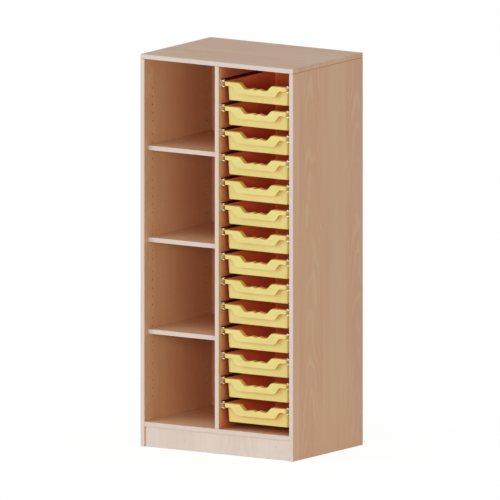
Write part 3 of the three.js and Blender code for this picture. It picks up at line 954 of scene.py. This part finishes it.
def tub_shape(sizes, tray_length, top, bottom, inset):
    """A tub-shaped block with leaning walls and rounded corners."""
    shape = bmesh.new()
    bmesh.ops.create_cube(shape, size=2.0)
    for vert in shape.verts:
        level = top if vert.co.z > 0 else bottom
        lean = -level / sizes.height
        half = sizes.tub_half - inset - sizes.side_draft * lean
        front = sizes.handle_reach + inset + sizes.end_draft * lean
        rear = tray_length - sizes.rear_overhang - inset - sizes.end_draft * lean
        vert.co = (math.copysign(half, vert.co.x), rear if vert.co.y > 0 else front, level)
    upright = [edge for edge in shape.edges if abs(edge.verts[0].co.z - edge.verts[1].co.z) > CLOSE]
    round_edges(shape, upright, sizes.corner - inset, 6)
    round_edges(shape, level_edges(shape, 2, bottom), max(sizes.foot - inset, sizes.least_foot), 4)
    return shape


def rear_corners(shape, rear):
    """The upright edges of a block at its rear."""
    return [edge for edge in level_edges(shape, 1, rear) if edge.verts[0].co.x == edge.verts[1].co.x]


def rim_shape(sizes, tray_length):
    """The rim: a plate with a skirt along both sides and the rear."""
    shape = block((-sizes.rim_half, sizes.rim_setback, -sizes.rim_depth), (sizes.rim_half, tray_length, 0))
    round_edges(shape, rear_corners(shape, tray_length), sizes.rim_corner, 6)
    round_edges(shape, level_edges(shape, 2, 0.0), sizes.rim_edge, 3)
    inner_half = sizes.rim_half - sizes.wall
    inner_rear = tray_length - sizes.wall
    inside = block(
        (-inner_half, sizes.rim_setback - PAST, -sizes.rim_depth - PAST),
        (inner_half, inner_rear, -sizes.wall),
    )
    round_edges(inside, rear_corners(inside, inner_rear), sizes.rim_corner - sizes.wall, 6)
    shape = combined(shape, inside, "DIFFERENCE")
    half = sizes.handle_half - 1.5 * sizes.wall
    front = block((-half, -PAST, -1.2 * sizes.wall), (half, sizes.handle_reach + 0.2 * sizes.wall, PAST))
    return combined(shape, front, "DIFFERENCE")


def handle_shape(sizes):
    """The handle: a band with a ledge behind its upper edge and two closed ends."""
    shape = bmesh.new()
    bmesh.ops.create_grid(shape, x_segments=1, y_segments=2, size=1.0)
    back = sizes.handle_reach + 0.8 * sizes.wall
    for vert in shape.verts:
        row = round(vert.co.y)
        y = back if row > 0 else 0.0
        vert.co = (vert.co.x * sizes.handle_half, y, -sizes.end_depth if row < 0 else 0.0)
    ends = [edge for edge in shape.edges if abs(edge.verts[0].co.y - edge.verts[1].co.y) > sizes.wall]
    draw_out(shape, bmesh.ops.extrude_edge_only(shape, edges=ends), (0, 0, -sizes.end_depth))
    if min(shape.faces, key=lambda face: face.calc_center_median().y).normal.y > 0:
        bmesh.ops.reverse_faces(shape, faces=shape.faces)
    round_edges(shape, sharp_edges(shape, 1.0), sizes.handle_edge, 5)
    bmesh.ops.solidify(shape, geom=shape.faces[:], thickness=sizes.wall)
    round_edges(shape, sharp_edges(shape, 1.0), sizes.handle_lip, 2)
    span = sizes.handle_half - 1.25 * sizes.handle_edge
    for step in range(sizes.columns + 1):
        sliced(shape, (span * (2 * step / sizes.columns - 1), 0, 0), (1, 0, 0))
    neck = 1.5 * sizes.handle_edge
    for vert in shape.verts:
        drop = upper_edge(sizes, vert.co.x)
        stretch = lower_edge(sizes, vert.co.x) - drop - sizes.end_depth
        share = max(0.0, -vert.co.z - neck) / (sizes.end_depth - neck)
        vert.co.z -= drop + stretch * share + sizes.handle_drop
    return shape


def hollow_shape(sizes):
    """What the finger hollow takes out of the tub's front wall and the rim."""
    shape = bmesh.new()
    bmesh.ops.create_grid(shape, x_segments=sizes.columns, y_segments=1, size=1.0)
    for vert in shape.verts:
        x = vert.co.x * sizes.handle_half
        vert.co = (x, -PAST, PAST if vert.co.y > 0 else 2 * sizes.handle_drop - upper_edge(sizes, x))
    grown = bmesh.ops.extrude_face_region(shape, geom=shape.faces[:])
    depth = PAST + sizes.handle_reach + sizes.end_draft + 2 * sizes.wall
    draw_out(shape, grown, (0, depth, 0))
    return shape


def tray_shape(sizes, tray_length):
    """One tray with its rim's top at z = 0, its handle face at y = 0 and its middle at x = 0."""
    tub = tub_shape(sizes, tray_length, -0.5 * sizes.wall, -sizes.height, 0.0)
    shape = combined(tub, rim_shape(sizes, tray_length), "UNION")
    inside = tub_shape(sizes, tray_length, PAST, sizes.wall - sizes.height, sizes.wall)
    shape = combined(shape, inside, "DIFFERENCE")
    shape = combined(shape, hollow_shape(sizes), "DIFFERENCE")
    return combined(shape, handle_shape(sizes), "UNION")


class STORAGE_UNIT_OT_trays(Operator):
    """Build the trays"""

    bl_idname = "storage_unit.trays"
    bl_label = "Trays"

    def execute(self, context):
        settings = context.scene.storage_unit
        sizes = settings.trays
        low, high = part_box(TRAYS[0])
        pitch = low.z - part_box(TRAYS[1])[0].z
        look = tray_plastic("tray_moulded", settings.finishes, sizes, low, high, pitch)
        shape = tray_shape(sizes, high.y - low.y)
        for name in TRAYS:
            low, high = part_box(name)
            place = Matrix.Translation(((low.x + high.x) / 2, low.y, high.z))
            piece = piece_of(pattern(shape.copy(), [place]), f"{name}_moulding", [look])
            settle(piece, name, "tray_plastic", name)
        shape.free()
        return {"FINISHED"}


def screw_shape(head, rise):
    """A low screw head with a cross recess, standing on the plane x = 0."""
    radius = head / 2
    root = -0.8 * MM
    profile = [
        (root, 0.0),
        (root, 0.7 * radius),
        (0.0, radius),
        (0.45 * rise, 0.97 * radius),
        (0.85 * rise, 0.75 * radius),
        (rise, 0.4 * radius),
        (rise, 0.0),
    ]
    shape = revolved(profile, 16)
    arm, slot, floor = 0.5 * radius, 0.11 * radius, 0.25 * rise
    for wide, tall in ((arm, slot), (slot, arm)):
        recess = block((floor, -wide, -tall), (2 * rise, wide, tall))
        shape = combined(shape, recess, "DIFFERENCE")
    return shape


class STORAGE_UNIT_OT_screws(Operator):
    """Build the screws of the runners and of the back panel"""

    bl_idname = "storage_unit.screws"
    bl_label = "Screws"

    def execute(self, context):
        settings = context.scene.storage_unit
        sizes = settings.runners
        look = plated_metal("screw_zinc", settings.finishes.screw, "X")
        for side, turn in (("left", 0.0), ("right", math.pi)):
            places = []
            for name in RUNNERS:
                if f"_{side}_" in name:
                    low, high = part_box(name)
                    web = low.x + sizes.web if side == "left" else high.x - sizes.web
                    span = high.y - low.y - 2 * sizes.screw_inset
                    for index in range(sizes.screws):
                        y = low.y + sizes.screw_inset + span * index / (sizes.screws - 1)
                        spot = Matrix.Translation((web, y, (low.z + high.z) / 2))
                        places.append(spot @ Matrix.Rotation(turn, 4, "Z"))
            shape = pattern(screw_shape(sizes.screw_head, sizes.screw_rise), places)
            settle(piece_of(shape, f"runner_screws_{side}", [look]), "carcass", "support_steel")
        back_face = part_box("back_panel")[1].y
        middle = sum(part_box("partition"), Vector()).x / 2
        level = sum(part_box("bottom_panel"), Vector()).z / 2
        spots = [(middle, level + row * sizes.back_rise) for row in range(1, sizes.back_rows + 1)]
        steps = range(-sizes.back_reach, sizes.back_reach + 1)
        spots += [(middle + step * sizes.back_pitch, level) for step in steps]
        outward = Matrix.Rotation(math.pi / 2, 4, "Z")
        places = [Matrix.Translation((x, back_face, z)) @ outward for x, z in spots]
        shape = pattern(screw_shape(sizes.screw_head, 0.5 * sizes.screw_rise), places)
        settle(piece_of(shape, "back_panel_screws", [look]), "carcass", "support_steel")
        return {"FINISHED"}


def view_direction(azimuth, elevation):
    """The direction from the unit towards a place round it."""
    flat = math.cos(elevation)
    return Vector((math.sin(azimuth) * flat, -math.cos(azimuth) * flat, math.sin(elevation)))


def seen_directly(look):
    """1 for the rays of the camera, and for those that a gloss or a glass sends on, otherwise 0."""
    path = look.node("ShaderNodeLightPath")
    rays = path.out("Is Camera Ray") + path.out("Is Glossy Ray") + path.out("Is Transmission Ray")
    return math_node(look, "MINIMUM", rays, 1.0)


class STORAGE_UNIT_OT_stage(Operator):
    """Set up the floor, the light and the camera"""

    bl_idname = "storage_unit.stage"
    bl_label = "Floor, light and camera"

    def execute(self, context):
        stage = context.scene.storage_unit.stage
        self.add_sky(context, stage)
        self.add_floor(stage)
        self.add_softbox(stage, "left_softbox", "key")
        self.add_softbox(stage, "right_softbox", "fill")
        self.add_camera(context, stage)
        context.scene.view_settings.view_transform = "Standard"
        return {"FINISHED"}

    def add_sky(self, context, stage):
        world = bpy.data.worlds.new("studio")
        context.scene.world = world
        look = Look(world)
        glow = seen_directly(look) * (1.0 - stage.sky) + stage.sky
        sky = look.node("ShaderNodeBackground", None, {"Color": WHITE, "Strength": glow})
        look.node("ShaderNodeOutputWorld", None, {"Surface": sky})

    def add_floor(self, stage):
        shape = bmesh.new()
        bmesh.ops.create_circle(shape, cap_ends=True, segments=96, radius=stage.floor_radius)
        floor = added("studio_floor", mesh_of(shape, "studio_floor"))
        floor.location.z = -stage.floor_drop
        look = Look(bpy.data.materials.new("studio_floor"))
        place = look.node("ShaderNodeTexCoord").out("Object")
        reach = look.node("ShaderNodeVectorMath", {"operation": "LENGTH"}, {0: place}, "Value")
        paper = look.node("ShaderNodeBsdfDiffuse", None, {"Color": (0.92, 0.92, 0.92, 1.0)})
        white = look.node("ShaderNodeEmission", None, {"Color": WHITE, "Strength": stage.floor_white})
        clear = look.node("ShaderNodeBsdfTransparent", None, {"Color": WHITE})
        glow = seen_directly(look) * stage.floor_glow
        near = look.node("ShaderNodeMixShader", None, {0: glow, 1: paper, 2: white})
        fade = ramped(look, reach, stage.floor_near, stage.floor_far)
        surface = look.node("ShaderNodeMixShader", None, {0: fade, 1: near, 2: clear})
        look.node("ShaderNodeOutputMaterial", None, {"Surface": surface})
        floor.data.materials.append(look.owner)

    def add_softbox(self, stage, name, role):
        light = bpy.data.lights.new(name, "AREA")
        light.shape = "RECTANGLE"
        light.size = stage.softbox_width
        light.size_y = getattr(stage, f"{role}_height")
        light.energy = getattr(stage, f"{role}_power")
        lamp = added(name, light)
        toward = view_direction(getattr(stage, f"{role}_azimuth"), getattr(stage, f"{role}_elevation"))
        lamp.location = Vector((0, 0, stage.aim_up)) + toward * stage.softbox_distance
        lamp.rotation_euler = toward.to_track_quat("Z", "Y").to_euler()
        lamp.visible_camera = False

    def add_camera(self, context, stage):
        camera_data = bpy.data.cameras.new("camera")
        camera_data.type = "ORTHO"
        camera_data.ortho_scale = stage.view_width
        camera = added("camera", camera_data)
        toward = view_direction(stage.azimuth, stage.elevation)
        right = Vector((math.cos(stage.azimuth), math.sin(stage.azimuth), 0))
        middle = toward.cross(right) * stage.aim_up - right * stage.aim_left
        camera.location = middle + toward * stage.camera_distance
        camera.rotation_euler = toward.to_track_quat("Z", "Y").to_euler()
        context.scene.camera = camera


class STORAGE_UNIT_PT_sidebar(Panel):
    """Lists what builds the storage unit"""

    bl_idname = "STORAGE_UNIT_PT_sidebar"
    bl_label = "Storage unit"
    bl_space_type = "VIEW_3D"
    bl_region_type = "UI"
    bl_category = "Storage unit"

    def draw(self, context):
        settings = context.scene.storage_unit
        for operator in OPERATORS:
            self.layout.operator(operator.bl_idname)
        for group_name in settings.__annotations__:
            group = getattr(settings, group_name)
            box = self.layout.box()
            for name in group.__annotations__:
                box.prop(group, name)


OPERATORS = (
    STORAGE_UNIT_OT_boards,
    STORAGE_UNIT_OT_shelves,
    STORAGE_UNIT_OT_supports,
    STORAGE_UNIT_OT_runners,
    STORAGE_UNIT_OT_trays,
    STORAGE_UNIT_OT_screws,
    STORAGE_UNIT_OT_stage,
)
CLASSES = (
    BoardSizes,
    TraySizes,
    RunnerSizes,
    SupportSizes,
    Finishes,
    StageSettings,
    StorageUnitSettings,
    *OPERATORS,
    STORAGE_UNIT_PT_sidebar,
)


def register():
    for cls in CLASSES:
        bpy.utils.register_class(cls)
    bpy.types.Scene.storage_unit = PointerProperty(type=StorageUnitSettings)


def unregister():
    del bpy.types.Scene.storage_unit
    for cls in reversed(CLASSES):
        bpy.utils.unregister_class(cls)


def main():
    register()
    bpy.ops.storage_unit.boards()
    bpy.ops.storage_unit.shelves()
    bpy.ops.storage_unit.supports()
    bpy.ops.storage_unit.runners()
    bpy.ops.storage_unit.trays()
    bpy.ops.storage_unit.screws()
    bpy.ops.storage_unit.stage()


if __name__ == "__main__":
    main()
